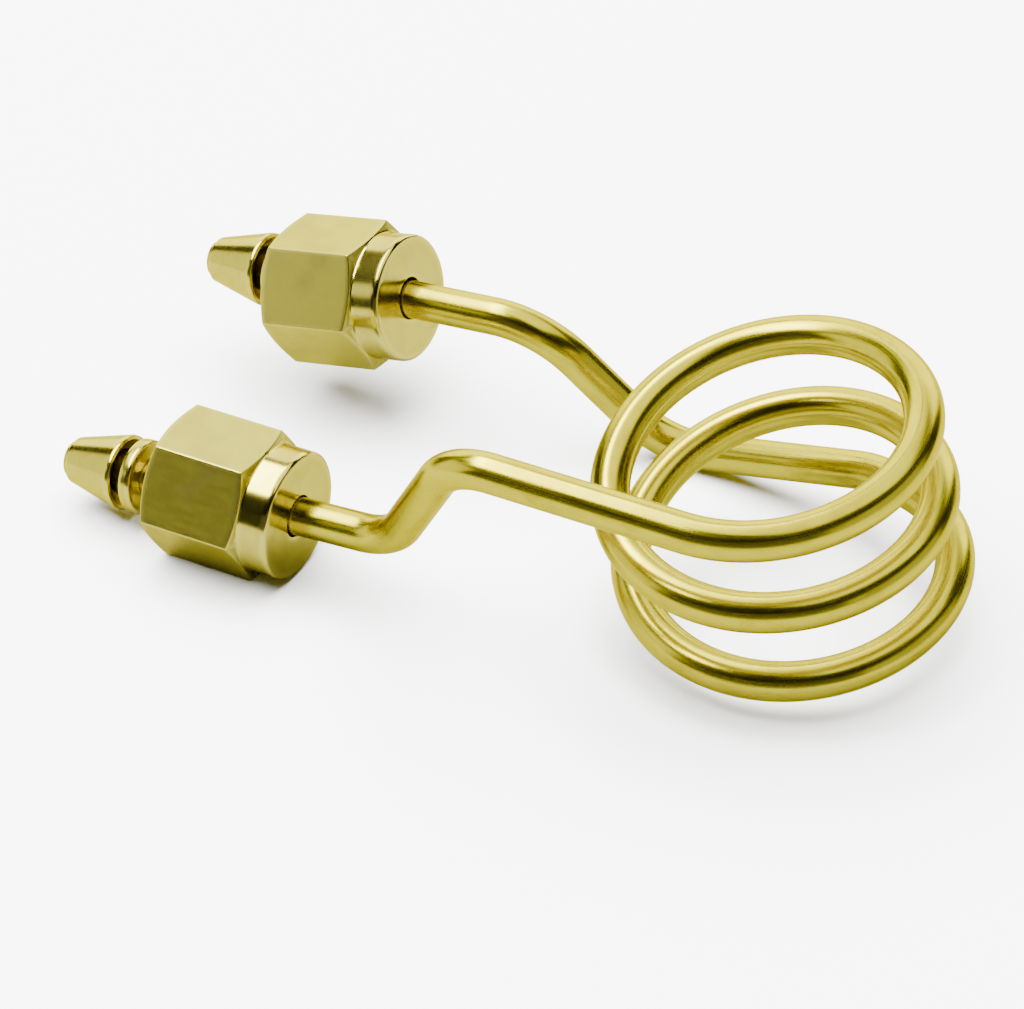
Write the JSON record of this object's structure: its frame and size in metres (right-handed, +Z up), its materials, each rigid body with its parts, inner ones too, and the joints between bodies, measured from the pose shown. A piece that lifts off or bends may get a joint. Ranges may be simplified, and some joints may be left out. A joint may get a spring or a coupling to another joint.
{
  "type": "coiled instrument tube",
  "caption": "Small coiled brass tube with two parallel legs, each ending in a loose hexagon nut with a round collar and a pair of cone ferrules.",
  "frame": {"origin": "middle of the bounding box, on the floor it rests on", "axes": "+Z up from the floor, +X roughly along the straight tube ends from the nuts towards the coil"},
  "size_m": [0.0744, 0.0362, 0.0232],
  "materials": {
    "tube_brass": "drawn brass tube, bright polished with faint drawing lines along it",
    "nut_brass": "machined brass, satin flats and a bright turned collar",
    "ferrule_brass": "bright turned brass with fine circular tool marks"
  },
  "bodies": {
    "coil_tube": {"coil_tube": "tube_brass"},
    "top_nut": {"top_nut": "nut_brass"},
    "top_back_ferrule": {"top_back_ferrule": "ferrule_brass"},
    "top_front_ferrule": {"top_front_ferrule": "ferrule_brass"},
    "bottom_nut": {"bottom_nut": "nut_brass"},
    "bottom_back_ferrule": {"bottom_back_ferrule": "ferrule_brass"},
    "bottom_front_ferrule": {"bottom_front_ferrule": "ferrule_brass"}
  },
  "joints": [
    {"name": "top_back_ferrule_slide", "type": "slide", "parent": "coil_tube", "child": "top_back_ferrule", "axis": [0.9963, -0.0194, 0.0838], "range_m": [0, 0.004]},
    {"name": "top_nut_spin", "type": "hinge", "parent": "top_back_ferrule", "child": "top_nut", "pos_m": [-0.01489, -0.01181, 0.0055], "axis": [1, -0.0035, -0.0003], "continuous": true},
    {"name": "top_front_ferrule_slide", "type": "slide", "parent": "coil_tube", "child": "top_front_ferrule", "axis": [-0.9963, 0.0194, -0.0838], "range_m": [0, 0.01]},
    {"name": "bottom_back_ferrule_slide", "type": "slide", "parent": "coil_tube", "child": "bottom_back_ferrule", "axis": [0.9944, -0.0239, 0.1029], "range_m": [0, 0.006]},
    {"name": "bottom_nut_spin", "type": "hinge", "parent": "bottom_back_ferrule", "child": "bottom_nut", "pos_m": [-0.01748, 0.01172, 0.0113], "axis": [0.9792, -0.0069, 0.2026], "continuous": true},
    {"name": "bottom_front_ferrule_slide", "type": "slide", "parent": "coil_tube", "child": "bottom_front_ferrule", "axis": [-0.9944, 0.0239, -0.1029], "range_m": [0, 0.01]}
  ]
}
